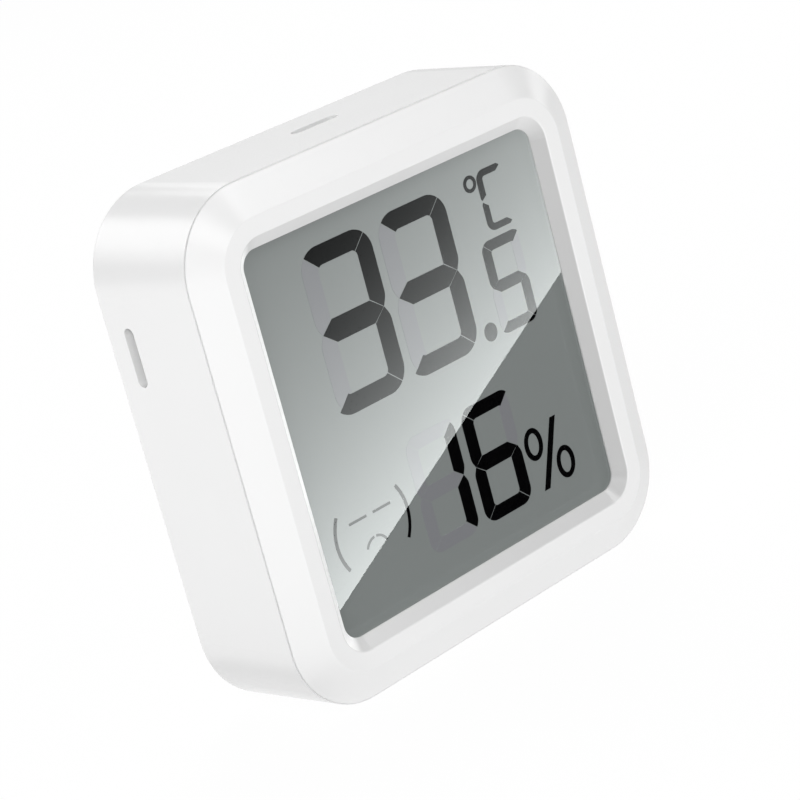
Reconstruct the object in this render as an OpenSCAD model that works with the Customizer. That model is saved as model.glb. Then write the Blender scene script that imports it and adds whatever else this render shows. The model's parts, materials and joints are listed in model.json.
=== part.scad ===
// Pocket temperature and humidity sensor with a reflective liquid-crystal display.
// It is laid out on its back, as on a bench: x to the right of the display, y up it, z from the back
// to the front. stand_up() then turns it upright, facing -Y, with the origin under its middle.

/* [Body] */
// Width and height of the body at the back, where it is widest
body_w = 43; // [39:0.5:50]
// Depth of the body, from the front ring to the back
body_d = 12.5; // [11.3:0.1:16]
// How far each side comes in from the back to the parting line
body_draft = 0.25; // [0.1:0.01:0.6]
// Corner radius of the body at the back
corner_r = 6.95; // [6.2:0.05:8]
// Wall of the main housing
wall_t = 1.3; // [1:0.05:1.5]
// Rounding of the housing's rear edge
rim_r = 0.2; // [0.1:0.05:0.6]
// Width of the groove at the parting line
groove_w = 0.1; // [0.06:0.02:0.3]
// Depth of the groove at the parting line
groove_depth = 0.45; // [0.2:0.05:0.6]

/* [Bezel] */
// Height of the bezel, from the parting line to the front ring
bezel_rise = 1.4; // [1.2:0.05:1.8]
// Width of the sloping outer face of the bezel
chamfer_w = 2.75; // [2:0.01:3.2]
// Width of the flat front ring
ring_w = 1.47; // [1:0.01:2]
// Width of the slope from the ring down to the window
slope_w = 1.04; // [0.6:0.01:1.3]
// Depth of the window's face behind the front ring
window_recess = 1.16; // [0.9:0.01:1.3]
// Upright edge at the foot of the slope
lip_land = 0.12; // [0.05:0.01:0.2]
// Rounding between the ring and the outer slope
ring_outer_r = 0.2; // [0.1:0.05:1]
// Rounding between the ring and the inner slope
ring_inner_r = 0.1; // [0.05:0.05:0.4]
// Wall of the bezel's skirt, inside the housing
skirt_t = 1.15; // [0.9:0.05:1.3]
// Length of each snap ridge on the skirt
snap_l = 6; // [3:0.5:9]
// Radius of each snap ridge
snap_r = 0.3; // [0.2:0.05:0.35]

/* [Vents] */
// Length of each vent slot
vent_l = 4.85; // [3:0.05:7]
// Width of each vent slot
vent_w = 1.1; // [0.8:0.05:1.5]
// Depth of the top vent behind the front ring
top_vent_depth = 7.77; // [6.9:0.01:8.5]
// Depth of the side vent behind the front ring
side_vent_depth = 9.8; // [8.6:0.01:9.8]
// Distance of the side vent below the top of the body
side_vent_drop = 11.86; // [10:0.02:13]

/* [Display] */
// Thickness of the clear window
window_t = 0.6; // [0.5:0.05:0.8]
// How far the window reaches under the bezel's lip
window_lap = 1.33; // [0.9:0.01:1.4]
// Thickness of the adhesive frame under the lip
tape_t = 0.1; // [0.05:0.01:0.2]
// Width of the adhesive frame
tape_w = 0.8; // [0.5:0.05:1]
// Air gap between the window and the display
display_gap = 0.1; // [0.05:0.01:0.3]
// Thickness of the front polarising film
polariser_t = 0.18; // [0.1:0.01:0.25]
// Thickness of each display glass
glass_t = 0.55; // [0.4:0.05:0.7]
// Thickness of the rear polariser with its reflector
reflector_t = 0.25; // [0.15:0.01:0.35]
// How far the display glass reaches past the window opening
glass_border = 1.03; // [0.6:0.01:1.1]
// How far the rear glass reaches below the window opening
glass_foot = 0.75; // [0.6:0.01:0.85]
// Height of the contact ledge, where only the front glass is left
ledge_h = 1.5; // [1.4:0.05:1.55]
// How far the films stay inside the edge of the glass
film_inset = 0.1; // [0.05:0.01:0.3]
// Thickness of the holder's floor under the display
holder_floor_t = 1.21; // [1:0.01:1.6]
// Wall of the holder round the display
holder_wall_t = 0.65; // [0.5:0.05:0.7]
// Width of the holder's frame under the display
holder_frame_w = 3.9; // [3:0.1:5]
// Thickness of the elastomer strip
strip_t = 1; // [0.8:0.05:1.1]
// Length of the elastomer strip
strip_l = 30; // [24:0.5:31]
// Radius of the holder's staked pegs
peg_r = 0.6; // [0.4:0.05:0.8]
// Distance of the pegs from the middle of the board
peg_x = 10; // [8:0.5:11]

/* [Board] */
// Thickness of the circuit board
board_t = 1; // [0.8:0.1:1.2]
// Gap between the board and the housing wall
board_gap = 1; // [0.6:0.05:1.2]
// Side of the controller chip
controller_w = 5; // [4:0.5:6]
// Height of the controller chip
controller_h = 0.85; // [0.7:0.05:1]
// Side of the display driver chip
driver_w = 6; // [5:0.5:7]
// Height of the display driver chip
driver_h = 0.9; // [0.7:0.05:1]
// Side of the humidity and temperature chip
sensor_w = 2.5; // [2:0.1:3]
// Height of the humidity and temperature chip
sensor_h = 0.9; // [0.7:0.05:1.1]
// Radius of the opening over the humidity film
sensor_port_r = 0.5; // [0.3:0.05:0.7]
// Width of the routed slot that keeps the board's heat from the sensor
relief_w = 0.8; // [0.6:0.05:1]
// Length of the crystal's can
crystal_l = 3.2; // [2.5:0.1:4]
// Height of the crystal's can
crystal_h = 0.7; // [0.6:0.05:0.9]
// Length of each capacitor
capacitor_l = 1.6; // [1:0.1:2]
// Length of each resistor
resistor_l = 1; // [0.6:0.1:1.6]

/* [Battery] */
// Diameter of the coin cell
cell_dia = 20; // [19.5:0.1:20.5]
// Thickness of the coin cell
cell_t = 3.2; // [2.5:0.1:3.2]
// Diameter of the cell's negative cap
cell_cap_dia = 17.2; // [16:0.1:17.8]
// Width of the cell's insulating ring
cell_ring_w = 0.35; // [0.2:0.05:0.6]
// Thickness of the contact springs
contact_t = 0.2; // [0.15:0.01:0.3]
// Width of the contact springs
contact_w = 3; // [2:0.1:3.6]

/* [Back] */
// Thickness of the back cover
cover_t = 1.4; // [1.3:0.05:1.6]
// Bevel round the outer edges of the back cover and the door
edge_bevel = 0.2; // [0.1:0.05:0.3]
// Width of each snap hook of the back cover
hook_w = 8; // [5:0.5:9]
// Thickness of each snap hook's arm
hook_t = 0.8; // [0.6:0.05:1]
// Height of the housing's inner ridge, which the hooks catch
ridge_t = 0.6; // [0.4:0.05:0.7]
// How far the ridge stands out of the housing wall
ridge_w = 0.5; // [0.4:0.05:0.6]
// Width of the pry notch in the lower edge of the back cover
notch_w = 7; // [5:0.5:9]
// Radius of the posts that hold the board
post_r = 1.1; // [0.8:0.05:1.2]
// Thickness of the door
door_t = 1.2; // [1.1:0.05:1.4]
// Width of the ledge that the door's rim rests on
door_rim_w = 1.4; // [1.2:0.05:1.7]
// Wall of the door's collar round the cell
collar_t = 0.8; // [0.6:0.05:1]
// Thickness of the bayonet ledge and of the lugs under it
lug_t = 0.8; // [0.7:0.05:0.9]
// How far the lugs stand out of the collar
lug_reach = 0.9; // [0.7:0.05:1]
// Angle that each lug covers
lug_angle = 24; // [15:1:30]
// Number of lugs
lug_count = 3; // [2:1:3]
// Turn of the door from locked to free
door_turn = 40; // [30:1:45]
// Length of the coin slot in the door
coin_slot_l = 14; // [10:0.5:18]
// Width of the coin slot
coin_slot_w = 1.8; // [1.4:0.1:2.4]
// Depth of the coin slot
coin_slot_depth = 0.7; // [0.4:0.05:0.75]
// Wall of the battery well
well_wall_t = 1.2; // [0.9:0.05:1.4]
// Floor of the battery well
well_floor_t = 0.7; // [0.5:0.05:0.8]
// Width of the floor that the cell's edge rests on
well_seat_w = 2.4; // [1.5:0.1:3]

/* [Button] */
// Distance of the pairing button from the right and lower edges of the back cover
button_inset = 5.9; // [5.5:0.1:6.4]
// Diameter of the pairing button
button_dia = 4; // [3:0.1:4.4]
// Depth of the button's face below the back
button_recess = 0.2; // [0.1:0.05:0.4]
// Travel of the pairing button
button_travel = 0.3; // [0.2:0.05:0.4]
// Side of the switch
switch_w = 4; // [3.5:0.1:4.4]
// Height of the switch body
switch_h = 2.2; // [1.8:0.1:2.4]
// Diameter of the switch plunger
plunger_dia = 1.8; // [1.4:0.1:2.2]
// How far the plunger stands out of the switch
plunger_rise = 0.7; // [0.6:0.05:1]
// Width of the flange that keeps the plunger in the switch
plunger_flange_w = 0.4; // [0.2:0.05:0.5]

/* [Clearances] */
// Gap between parts that are seated face to face
seat_gap = 0.05; // [0.02:0.01:0.1]
// Gap round parts that are pushed into place
fit_gap = 0.1; // [0.08:0.01:0.15]
// Gap round parts that move
move_gap = 0.15; // [0.1:0.01:0.2]

/* [Hidden] */
$fn = 96;
// Overlap that joins two solids of one piece
join = 0.1;
// Reach of a cut past the face that it opens
past = 1;

// Half widths of the body and its corner centres, which all rounded squares share
half_back = body_w / 2;
half_part = half_back - body_draft;
corner_at = half_back - corner_r;
part_z = body_d - bezel_rise;
side_vent_rise = half_back - side_vent_drop;
ring_out = half_part - chamfer_w;
ring_in = ring_out - ring_w;
opening = ring_in - slope_w;

// Heights of the display stack above the back
window_front = body_d - window_recess;
lip_z = window_front + tape_t;
window_back = window_front - window_t;
polariser_top = window_back - display_gap;
glass_top = polariser_top - polariser_t;
rear_glass_top = glass_top - glass_t;
reflector_top = rear_glass_top - glass_t;
display_back = reflector_top - reflector_t;
board_front = display_back - holder_floor_t;
board_back = board_front - board_t;

// Half widths of the display stack
window_half = opening + window_lap;
pocket_half = window_half + fit_gap;
glass_half = opening + glass_border;
rear_glass_foot = -opening - glass_foot;
glass_foot_y = rear_glass_foot - ledge_h;
holder_in = glass_half + fit_gap;
holder_half = holder_in + holder_wall_t;
skirt_out = half_part - wall_t - fit_gap;
skirt_in = skirt_out - skirt_t;
shelf_in = holder_half + fit_gap;
shelf_t = 1;
// Rows of pegs in the middle of the holder's frame, and the heads that are melted on them
peg_rows = [rear_glass_foot + holder_frame_w / 4, holder_half - holder_frame_w / 2];
peg_head_t = 0.35;
peg_head_r = 1.5 * peg_r;
skirt_z = board_front + shelf_t + 2 * fit_gap;
snap_z = part_z - groove_w - 2 * snap_r;
board_half = half_part - wall_t - board_gap;

// Heights of the battery well above the back
ledge_z = door_t + seat_gap;
lug_z = ledge_z + lug_t + move_gap;
channel_z = lug_z + lug_t + move_gap;
cell_z = door_t + move_gap;
cell_top = cell_z + cell_t;
floor_z = cell_top + seat_gap;
well_top = floor_z + well_floor_t;
contact_way_z = channel_z + 2 * fit_gap;
step_z = channel_z + well_floor_t;

// Coin cell
cell_r = cell_dia / 2;
cell_cap_r = cell_cap_dia / 2;
cell_mid = cell_top - cell_t / 2;
cell_bevel = 0.3;
can_t = 0.25;
can_in = cell_r - can_t;
can_top = cell_top - cell_bevel;
mouth_r = cell_cap_r + cell_ring_w;

// Bends of the contact springs, along x: the leaf under the cell, then the foot of the side contact
leaf_heel_x = -5;
leaf_foot_l = 3;
leaf_pad_l = 1.4;
leaf_tip_x = 2.6;
arm_foot_l = 2;

// Radii of the battery well
collar_in = cell_r + 2 * move_gap;
collar_out = collar_in + collar_t;
bore_r = collar_out + move_gap;
door_r = bore_r + door_rim_w - move_gap;
lug_tip = collar_out + lug_reach;
channel_r = lug_tip + move_gap;
well_in = cell_r + 2 * fit_gap;
well_out = well_in + well_wall_t;
ledge_out = max(channel_r, door_r + move_gap) + well_wall_t;
lug_pitch = 360 / lug_count;
// Play of the lugs in their notches and at the ends of their channels, in degrees
lug_play = 2;

// Back cover
inner_back = half_back - wall_t;
cover_half = inner_back - fit_gap;
ridge_in = inner_back - ridge_w;
ridge_z = cover_t + seat_gap;
barb_z = ridge_z + ridge_t + seat_gap;
barb_h = 0.9;
barb_reach = 0.4;
hook_out = ridge_in - fit_gap;
notch_h = 0.7;
notch_depth = 0.8;
// The posts stand just below the slots round the sensor, and the same below the middle
relief_y = sensor_w / 2 + relief_w;
post_gap = 0.5;
post_y = side_vent_rise - relief_y - post_gap - post_r;
post_inset = 1.9;

// Pairing button and its switch
button_offset = cover_half - button_inset;
button_z = cover_t + fit_gap;
button_flange_t = 0.7;
button_flange_w = 0.8;
switch_top = board_back - switch_h;
switch_plate_t = 0.2;
plunger_tip = switch_top - plunger_rise;
plunger_flange_t = 0.4;
stem_dia = 2.4;

// Chips and small parts on the back of the board, as [x, y] from its middle
// The chips lie in the corners outside the battery well, clear of the pegs' heads
chip_gap = 0.3;
chip_inset = 5;
controller_at = [chip_inset - board_half, peg_rows[0] + peg_head_r + chip_gap + controller_w / 2];
driver_at = [board_half - chip_inset, peg_rows[1] - peg_head_r - chip_gap - driver_w / 2];
crystal_at = [controller_at.x, controller_at.y + controller_w / 2 + chip_inset / 2];
// The humidity chip sits beside the side vent
sensor_at = [sensor_w - board_half, side_vent_rise];
// Radius and depth of the mark at a chip's first pin, and its distance from the edges
pin_mark_r = 0.15;
pin_mark_inset = 0.6;
// Solder under a chip, and half the width of its pad against the chip's width
solder_t = 0.05;
pad_ratio = 0.4;
crystal_ratio = 0.78;
crystal_step = 0.2;
// Width and end caps of the small parts against their length, and how far the caps stand out
part_w_ratio = 0.5;
part_cap_ratio = 0.2;
cap_proud = 0.03;
// The small parts stand in rows between the pegs and along the right edge
edge_row = board_half - 2.9;
row_x = 0.3 * peg_x;
row_y = post_y / 2;
capacitors_at = [
    for (k = [-2, -1, 1, 2]) [k * row_x, edge_row],
    for (k = [-2, -1]) [k * row_x, -edge_row]
];
resistors_at = [
    for (k = [0, 1, 2]) [k * row_x, -edge_row],
    for (k = [-1, 0, 1]) [edge_row, k * row_y]
];

// Outer half width of the housing at height z, which follows the draft
function outer_at(z) = half_back - body_draft * z / part_z;

// Inner half width of the housing at height z
function inner_at(z) = outer_at(z) - wall_t;

function unit(v) = v / norm(v);

// Points of the arc that rounds corner p, between its neighbours a and b
function round_corner(a, p, b, r, steps = 5) =
    let (
        u = unit(a - p),
        v = unit(b - p),
        half = acos(u * v) / 2,
        centre = p + unit(u + v) * r / sin(half),
        from = p + u * r / tan(half) - centre,
        to = p + v * r / tan(half) - centre,
        start = atan2(from.y, from.x),
        turn = (atan2(to.y, to.x) - start + 540) % 360 - 180
    )
    [for (k = [0 : steps]) centre + r * [cos(start + turn * k / steps), sin(start + turn * k / steps)]];

// Outline with rounded corners, from a list of [x, y, radius]
function soft_outline(pts) = [
    for (i = [0 : len(pts) - 1])
        let (
            n = len(pts),
            p = [pts[i].x, pts[i].y],
            a = pts[(i + n - 1) % n],
            b = pts[(i + 1) % n]
        )
        each pts[i].z > 0 ? round_corner([a.x, a.y], p, [b.x, b.y], pts[i].z) : [p]
];

// Profile points with x measured from the body's middle, moved so that x starts at a corner centre
function from_corner(pts) = [for (p = pts) [p.x - corner_at, p.y, len(p) > 2 ? p.z : 0]];

// Turns the part from lying on its back to standing upright
module stand_up() {
    translate([0, body_d / 2, half_back])
        rotate([90, 0, 0])
            children();
}

// Carries a profile round the four sides and corners of the body
module sweep_round() {
    for (k = [0 : 3])
        rotate(90 * k)
            translate([corner_at, corner_at, 0]) {
                rotate_extrude(angle = 90)
                    children();
                rotate([90, 0, 0])
                    linear_extrude(2 * corner_at)
                        children();
            }
}

// Plate of rounded square outline, with a bevel on its lower edge
module plate(half, z0, z1, bevel = 0) {
    sweep_round()
        polygon([
            [0, z0], [half - corner_at - bevel, z0], [half - corner_at, z0 + bevel],
            [half - corner_at, z1], [0, z1]
        ]);
    translate([-corner_at, -corner_at, z0])
        cube([2 * corner_at, 2 * corner_at, z1 - z0]);
}

// Box given by its lowest and highest corners
module box(low, high) {
    translate(low)
        cube(high - low);
}

// Round plate of outline r, with a sector of outline tip at each lug, from angle a over the given sweep
module lugged_circle(r, tip, a, sweep) {
    circle(r);
    for (k = [0 : lug_count - 1])
        intersection() {
            circle(tip);
            polygon([
                [0, 0],
                for (b = [0, sweep / 2, sweep])
                    2 * tip * [cos(lug_pitch * k + a + b), sin(lug_pitch * k + a + b)]
            ]);
        }
}

// Straight slot with round ends, as an outline
module slot_outline(length, width) {
    square([length - width, width], center = true);
    for (side = [-1, 1])
        translate([side * (length - width) / 2, 0])
            circle(d = width);
}

// Solid of an outline between two heights
module layer(z0, z1) {
    translate([0, 0, z0])
        linear_extrude(z1 - z0)
            children();
}

// Round-ended slot through a wall, along x, cut along y
module slot_cut(length, width, deep) {
    rotate([90, 0, 0])
        linear_extrude(deep, center = true)
            slot_outline(length, width);
}

// The bezel: front ring, outer slope, inner slope, and the skirt that fits inside the housing
module front_bezel() {
    groove_out = half_part - chamfer_w * groove_w / 2 / bezel_rise;
    rib_z = window_back - seat_gap;
    profile = [
        [ring_in, body_d, ring_inner_r],
        [ring_out, body_d, ring_outer_r],
        [groove_out, part_z + groove_w / 2, 0],
        [half_part - groove_depth, part_z + groove_w / 2, 0],
        [half_part - groove_depth, part_z, 0],
        [skirt_out, part_z, 0],
        [skirt_out, skirt_z, 0],
        [skirt_in, skirt_z, 0],
        [skirt_in, rib_z, 0],
        [pocket_half, rib_z, 0],
        [pocket_half, lip_z, 0],
        [opening, lip_z, 0],
        [opening, lip_z + lip_land, 0]
    ];
    color("white")
        stand_up()
            difference() {
                union() {
                    sweep_round()
                        polygon(soft_outline(from_corner(profile)));
                    snap_ridges(snap_r, snap_l);
                }
                // The skirt's lower corners make room for the display's contact ledge
                box([-holder_in, glass_foot_y - fit_gap, skirt_z - past], [holder_in, 0, rib_z]);
            }
}

// Snap ridges, two on each side of the skirt, or the grooves that take them
module snap_ridges(r, length) {
    for (k = [0 : 3], side = [-1, 1])
        rotate(90 * k)
            translate([skirt_out - join, side * corner_at / 2, snap_z])
                rotate([90, 0, 0])
                    cylinder(r = r, h = length, center = true);
}

// The housing: drafted side walls with vents, a shelf for the board and a ridge for the back cover
module main_housing() {
    shelf_top = board_front + shelf_t;
    ridge_top = ridge_z + ridge_t;
    profile = [
        [half_back, 0, rim_r],
        [outer_at(part_z - groove_w / 2), part_z - groove_w / 2, 0],
        [half_part - groove_depth, part_z - groove_w / 2, 0],
        [half_part - groove_depth, part_z, 0],
        [inner_at(part_z), part_z, 0],
        [inner_at(shelf_top), shelf_top, 0],
        [shelf_in, shelf_top, 0],
        [shelf_in, board_front, 0],
        [inner_at(board_front), board_front, 0],
        [inner_at(ridge_top), ridge_top, 0],
        [ridge_in, ridge_top, 0],
        [ridge_in, ridge_z, 0],
        [inner_at(ridge_z), ridge_z, 0],
        [inner_back, 0, 0]
    ];
    color("white")
        stand_up()
            difference() {
                sweep_round()
                    polygon(soft_outline(from_corner(profile)));
                // The shelf is open below, where the display's contact ledge comes down
                box([-shelf_in, -inner_at(part_z), board_front - join], [shelf_in, 0, shelf_top + join]);
                snap_ridges(snap_r + seat_gap, snap_l + 2 * fit_gap);
                translate([0, half_back, body_d - top_vent_depth])
                    slot_cut(vent_l, vent_w, 4 * wall_t);
                translate([-half_back, side_vent_rise, body_d - side_vent_depth])
                    rotate(90)
                        slot_cut(vent_l, vent_w, 4 * wall_t);
            }
}

// The back cover: plate, battery well with its bayonet ledge, snap hooks and board posts
module back_cover() {
    color("white")
        stand_up()
            difference() {
                union() {
                    plate(cover_half, 0, cover_t, edge_bevel);
                    translate([0, 0, cover_t - join])
                        cylinder(r = ledge_out, h = step_z - cover_t + join);
                    translate([0, 0, step_z - join])
                        cylinder(r = well_out, h = well_top - step_z + join);
                    cover_hooks();
                    board_posts();
                }
                well_cuts();
                translate([button_offset, -button_offset, -past])
                    cylinder(d = button_dia + 2 * move_gap, h = cover_t + 2 * past);
                translate([0, -cover_half, 0])
                    box([-notch_w / 2, -past, -past], [notch_w / 2, notch_depth, notch_h]);
            }
}

// Hooks that catch under the housing's ridge, one in the middle of each side
module cover_hooks() {
    hook = [
        [hook_out - hook_t, cover_t - join],
        [hook_out, cover_t - join],
        [hook_out, barb_z],
        [hook_out + barb_reach, barb_z],
        [hook_out, barb_z + barb_h],
        [hook_out - hook_t, barb_z + barb_h]
    ];
    for (k = [0 : 3])
        rotate(90 * k)
            translate([0, hook_w / 2, 0])
                rotate([90, 0, 0])
                    linear_extrude(hook_w)
                        polygon(hook);
}

// Posts that hold the board against the housing's shelf
module board_posts() {
    for (x = [-1, 1], y = [-1, 1])
        translate([x * (board_half - post_inset), y * post_y, cover_t - join])
            cylinder(r = post_r, h = board_back - seat_gap - cover_t + join);
}

// Cuts for the door's rim, its collar and lugs, the cell and its contacts
module well_cuts() {
    way = contact_w / 2 + 2 * fit_gap;
    start = -door_turn - lug_play;
    layer(-past, ledge_z)
        circle(door_r + move_gap);
    layer(ledge_z - join, ledge_z + lug_t)
        lugged_circle(bore_r, channel_r, start, lug_angle + 2 * lug_play);
    layer(ledge_z + lug_t, channel_z)
        lugged_circle(bore_r, channel_r, start, lug_angle + door_turn + 2 * lug_play);
    layer(channel_z - join, floor_z)
        circle(well_in);
    layer(floor_z - join, well_top + past)
        circle(cell_r - well_seat_w);
    box([0, -way, contact_way_z], [ledge_out + past, way, well_top + past]);
}

// The battery door: disc with a coin slot, collar round the cell and bayonet lugs
module battery_door() {
    color("white")
        stand_up()
            difference() {
                union() {
                    cylinder(r1 = door_r - edge_bevel, r2 = door_r, h = edge_bevel);
                    layer(edge_bevel, door_t)
                        circle(door_r);
                    layer(door_t, lug_z)
                        circle(collar_out);
                    layer(lug_z, lug_z + lug_t)
                        lugged_circle(collar_out, lug_tip, 0, lug_angle);
                }
                layer(door_t, lug_z + lug_t + past)
                    circle(collar_in);
                layer(-past, coin_slot_depth)
                    slot_outline(coin_slot_l, coin_slot_w);
            }
}

// Adhesive frame between the bezel's lip and the window
module window_tape() {
    tape_out = window_half - fit_gap;
    color("gainsboro")
        stand_up()
            sweep_round()
                polygon(soft_outline(from_corner([
                    [tape_out - tape_w, window_front], [tape_out, window_front],
                    [tape_out, lip_z], [tape_out - tape_w, lip_z]
                ])));
}

// Clear window in the bezel's pocket
module display_window() {
    color("lightgray", 0.4)
        stand_up()
            plate(window_half, window_back, window_front);
}

// One layer of the display, between its foot and its top edge
module display_layer(half, foot, z0, z1) {
    stand_up()
        box([-half, foot, z0], [half, half, z1]);
}

module front_polariser() {
    color("gray")
        display_layer(glass_half - film_inset, rear_glass_foot + film_inset, glass_top, polariser_top);
}

module front_glass() {
    color("darkgray")
        display_layer(glass_half, glass_foot_y, rear_glass_top, glass_top);
}

module rear_glass() {
    color("darkgray")
        display_layer(glass_half, rear_glass_foot, reflector_top, rear_glass_top);
}

module reflector() {
    color("silver")
        display_layer(glass_half - film_inset, rear_glass_foot + film_inset, display_back, reflector_top);
}

// The holder: frame under the display, walls on three sides, slot for the elastomer strip, staked pegs
module display_holder() {
    wall_top = window_back - 2 * seat_gap;
    wall_end = corner_at + holder_wall_t;
    frame_in = holder_half - holder_frame_w;
    strip_top = rear_glass_foot - fit_gap;
    strip_foot = strip_top - strip_t - 2 * fit_gap;
    color("whitesmoke")
        stand_up() {
            difference() {
                intersection() {
                    box([-holder_half, strip_top, board_front], [holder_half, holder_half, wall_top]);
                    plate(holder_half, board_front, wall_top);
                }
                box([-holder_in, strip_top - past, display_back], [holder_in, holder_in, wall_top + past]);
                box([-frame_in, strip_top + holder_frame_w / 2, 0], [frame_in, frame_in, body_d]);
                // The walls stop short of the rounded corners
                for (k = [0 : 3])
                    rotate(90 * k)
                        box([wall_end, wall_end, display_back], [body_w, body_w, body_d]);
            }
            for (x = [-strip_l / 2 - fit_gap - holder_wall_t, strip_l / 2 + fit_gap])
                box([x, strip_foot, board_front], [x + holder_wall_t, strip_top + join, display_back]);
            for (x = [-peg_x, peg_x], y = peg_rows)
                translate([x, y, board_back - peg_head_t]) {
                    cylinder(r = peg_r, h = board_t + peg_head_t + join);
                    cylinder(r = peg_head_r, h = peg_head_t);
                }
        }
}

// Elastomer strip that joins the contact ledge to the board
module contact_strip() {
    strip_top = rear_glass_foot - 2 * fit_gap;
    color("hotpink")
        stand_up()
            box([-strip_l / 2, strip_top - strip_t, board_front], [strip_l / 2, strip_top, rear_glass_top]);
}

// Circuit board with peg holes and the routed slot round the sensor
module main_board() {
    relief_x = sensor_at.x + sensor_w / 2 + relief_w;
    color("darkgreen")
        stand_up()
            difference() {
                plate(board_half, board_back, board_front);
                for (x = [-peg_x, peg_x], y = peg_rows)
                    translate([x, y, 0])
                        cylinder(r = peg_r + fit_gap, h = body_d);
                translate([0, side_vent_rise, 0]) {
                    box([relief_x, -relief_y, 0], [relief_x + relief_w, relief_y, body_d]);
                    for (y = [-relief_y, relief_y - relief_w])
                        box([relief_x - sensor_w, y, 0], [relief_x + join, y + relief_w, body_d]);
                }
            }
}

// Moulded chip on the back of the board, with a mark at its first pin
module chip(at, w, h) {
    translate([at.x, at.y, board_back - solder_t])
        mirror([0, 0, 1])
            difference() {
                box([-w / 2, -w / 2, 0], [w / 2, w / 2, h - solder_t]);
                translate([pin_mark_inset - w / 2, w / 2 - pin_mark_inset, h - solder_t - pin_mark_r])
                    cylinder(r = pin_mark_r, h = past);
            }
    translate([at.x, at.y, board_back])
        box([-pad_ratio * w, -pad_ratio * w, -solder_t], [pad_ratio * w, pad_ratio * w, 0]);
}

module controller_chip() {
    color("dimgray")
        stand_up()
            chip(controller_at, controller_w, controller_h);
}

module driver_chip() {
    color("dimgray")
        stand_up()
            chip(driver_at, driver_w, driver_h);
}

// Humidity and temperature chip, with its port towards the back
module sensor_chip() {
    color("ivory")
        stand_up()
            difference() {
                chip(sensor_at, sensor_w, sensor_h);
                translate([sensor_at.x, sensor_at.y, board_back - sensor_h - past])
                    cylinder(r = sensor_port_r, h = past + sensor_h / 2);
            }
}

// Crystal: ceramic base with a stepped metal lid
module crystal() {
    half_w = crystal_ratio * crystal_l / 2;
    half_l = crystal_l / 2;
    lid_w = half_w - crystal_step;
    lid_l = half_l - crystal_step;
    color("silver")
        stand_up()
            translate([crystal_at.x, crystal_at.y, board_back]) {
                box([-half_w, -half_l, -crystal_h / 2], [half_w, half_l, 0]);
                box([-lid_w, -lid_l, -crystal_h], [lid_w, lid_l, -crystal_h / 2]);
            }
}

// Small two-ended part, with end caps a little larger than its middle
module small_part(at, length) {
    w = part_w_ratio * length;
    cap = part_cap_ratio * length;
    translate([at.x, at.y, board_back]) {
        box([-length / 2, cap_proud - w / 2, cap_proud - w], [length / 2, w / 2 - cap_proud, 0]);
        for (x = [-length / 2, length / 2 - cap])
            box([x, -w / 2, -w], [x + cap, w / 2, 0]);
    }
}

module capacitors() {
    color("tan")
        stand_up()
            for (at = capacitors_at)
                small_part(at, capacitor_l);
}

module resistors() {
    color("black")
        stand_up()
            for (at = resistors_at)
                small_part(at, resistor_l);
}

// Point beside a bent path, at distance d from both of the stretches that meet there
function beside(path, i, d) =
    let (
        last = len(path) - 1,
        before = unit(path[max(i, 1)] - path[max(i, 1) - 1]),
        after = unit(path[min(i, last - 1) + 1] - path[min(i, last - 1)]),
        middle = unit(before + after)
    )
    path[i] + d / (middle * before) * [-middle.y, middle.x];

// Outline of sheet metal of thickness t, bent along a path
function sheet_outline(path, t) = [
    each [for (i = [0 : len(path) - 1]) beside(path, i, t / 2)],
    each [for (i = [len(path) - 1 : -1 : 0]) beside(path, i, -t / 2)]
];

// Bent strip of sheet: a path in x and z, carried along y
module bent_strip(path, width) {
    translate([0, width / 2, 0])
        rotate([90, 0, 0])
            linear_extrude(width)
                polygon(sheet_outline(path, contact_t));
}

// Leaf spring under the cell, soldered to the board at one end
module negative_contact() {
    foot_z = board_back - contact_t / 2;
    touch_z = cell_top + contact_t / 2;
    tip_z = (touch_z + foot_z) / 2;
    color("silver")
        stand_up()
            bent_strip([
                [leaf_heel_x - leaf_foot_l, foot_z], [leaf_heel_x, foot_z],
                [-leaf_pad_l / 2, touch_z], [leaf_pad_l / 2, touch_z], [leaf_tip_x, tip_z]
            ], contact_w);
}

// Side contact that reaches through the well's wall to the edge of the cell
module positive_contact() {
    foot_z = board_back - contact_t / 2;
    arm_x = well_out + fit_gap + contact_t / 2;
    touch_x = cell_r + contact_t;
    press_z = contact_way_z + 3 * contact_t;
    color("silver")
        stand_up()
            bent_strip([
                [arm_x + arm_foot_l, foot_z], [arm_x, foot_z], [arm_x, well_top],
                [touch_x, press_z], [touch_x + contact_t, contact_way_z + contact_t]
            ], contact_w);
}

// The cell's steel can, crimped over the insulating ring
module cell_can() {
    color("silver")
        stand_up()
            rotate_extrude()
                polygon([
                    [0, cell_z], [cell_r - cell_bevel, cell_z], [cell_r, cell_z + cell_bevel],
                    [cell_r, can_top - cell_bevel], [cell_r - cell_bevel, can_top], [mouth_r, can_top],
                    [mouth_r, can_top - can_t], [can_in, can_top - can_t],
                    [can_in, cell_z + can_t], [0, cell_z + can_t]
                ]);
}

// Insulating ring between the can and the cap
module cell_ring() {
    ring_bore = cell_cap_r + seat_gap;
    ring_neck = mouth_r - seat_gap;
    ring_foot = can_in - seat_gap;
    ring_top = cell_top - cell_bevel / 2;
    color("darkslategray")
        stand_up()
            rotate_extrude()
                polygon([
                    [ring_bore, cell_mid], [ring_foot, cell_mid], [ring_foot, can_top - can_t],
                    [ring_neck, can_top - can_t], [ring_neck, ring_top], [ring_bore, ring_top]
                ]);
}

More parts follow.
